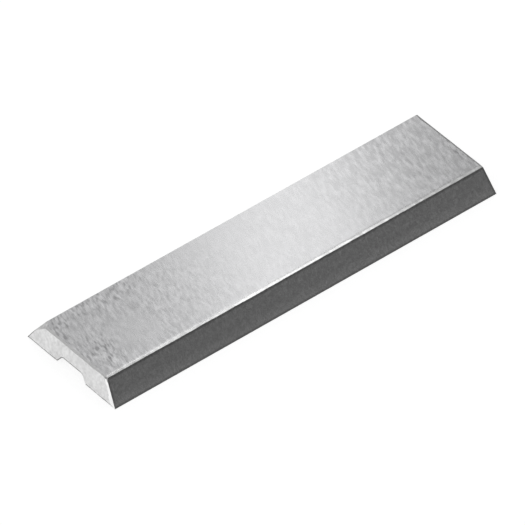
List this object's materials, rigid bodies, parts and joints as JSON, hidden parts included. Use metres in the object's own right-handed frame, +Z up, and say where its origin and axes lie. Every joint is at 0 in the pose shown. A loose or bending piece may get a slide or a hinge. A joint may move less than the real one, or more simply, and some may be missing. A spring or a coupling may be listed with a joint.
{
  "type": "reversible insert knife",
  "caption": "Small flat bar knife for a cutter head or router cutter, with a bevelled cutting edge along each long side and a shallow locating groove down its wide face.",
  "frame": {"origin": "middle of the underside, the wide grooved face on which the knife rests", "axes": "+X along the cutting edges, +Y across the knife from one cutting edge to the other, +Z up through its thickness"},
  "size_m": [0.02, 0.0054, 0.0011],
  "materials": {
    "ground_carbide": "solid cemented tungsten carbide, surface ground to a satin grey with fine grinding marks across the narrow face"
  },
  "bodies": {
    "root": {"insert_knife": "ground_carbide"}
  },
  "joints": []
}
